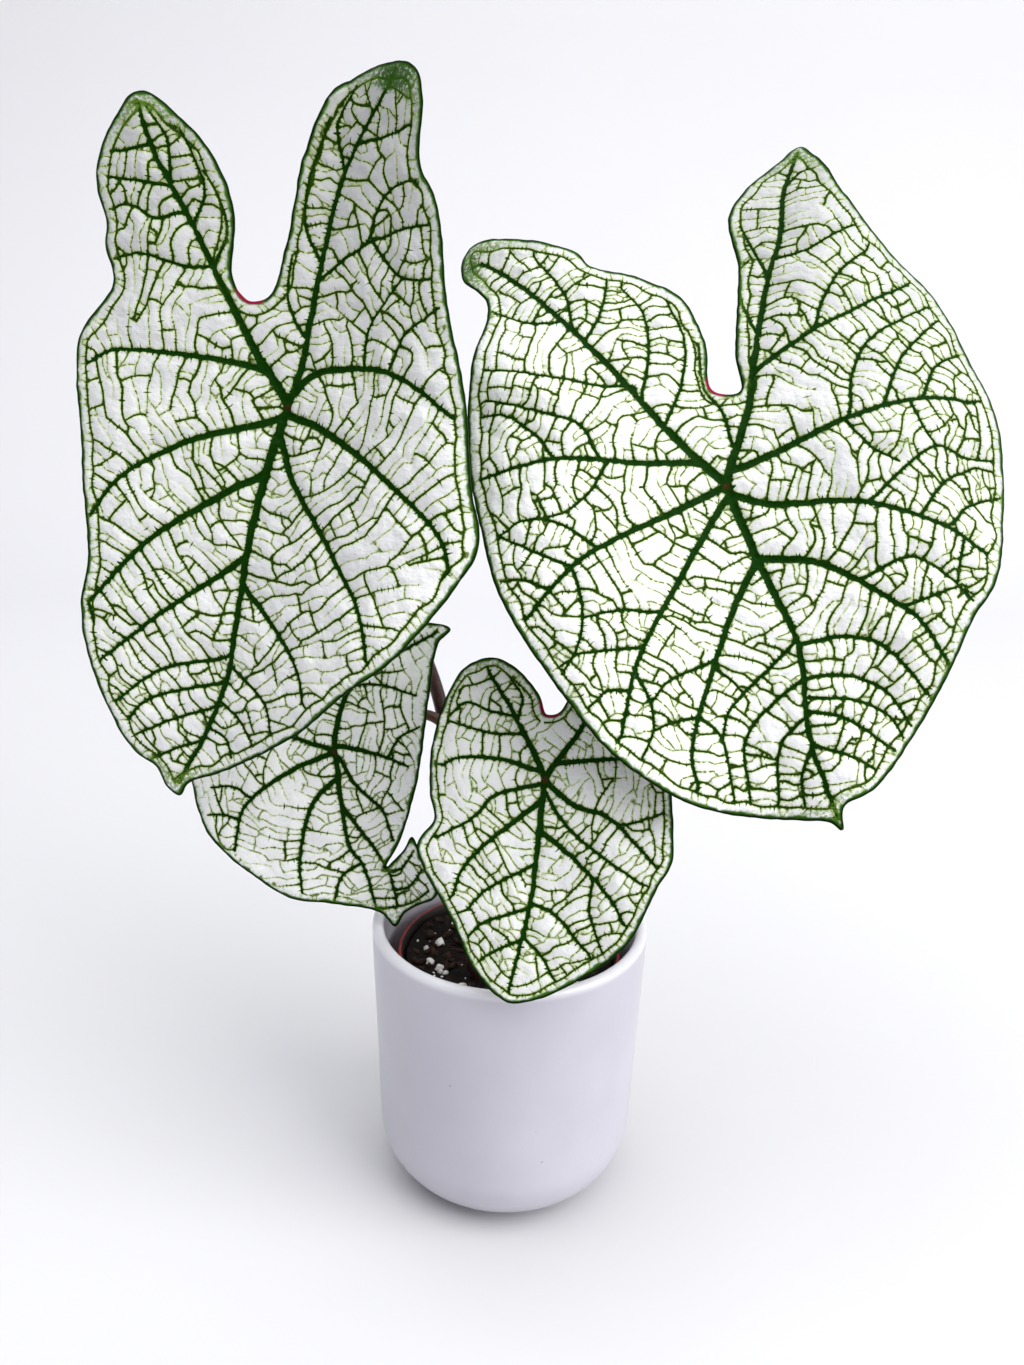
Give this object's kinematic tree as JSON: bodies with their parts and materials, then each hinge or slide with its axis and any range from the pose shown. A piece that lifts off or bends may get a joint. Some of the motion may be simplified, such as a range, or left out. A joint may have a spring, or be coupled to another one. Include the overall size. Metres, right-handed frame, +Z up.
{
  "type": "potted caladium",
  "caption": "Caladium with white, green-veined heart-shaped leaves on slender stalks, in its nursery pot inside a round-bottomed glazed pot.",
  "frame": {"origin": "centre of the glazed pot's flat foot, on the surface that it stands on", "axes": "+Z up along the pot's axis; -Y towards the front, the side that the leaves face"},
  "size_m": [0.3632, 0.1524, 0.48],
  "materials": {
    "glaze": "satin",
    "plastic": "matte",
    "soil": "matte",
    "tuber": "matte",
    "leaf": "satin",
    "petiole": "satin"
  },
  "bodies": {
    "root": {"outer_pot": "glaze", "nursery_pot": "plastic", "soil": "soil", "tuber": "tuber", "petiole_left": "petiole", "petiole_right": "petiole", "petiole_front": "petiole", "petiole_back": "petiole", "leaf_left": "leaf", "leaf_right": "leaf", "leaf_front": "leaf", "leaf_back": "leaf"}
  },
  "joints": []
}
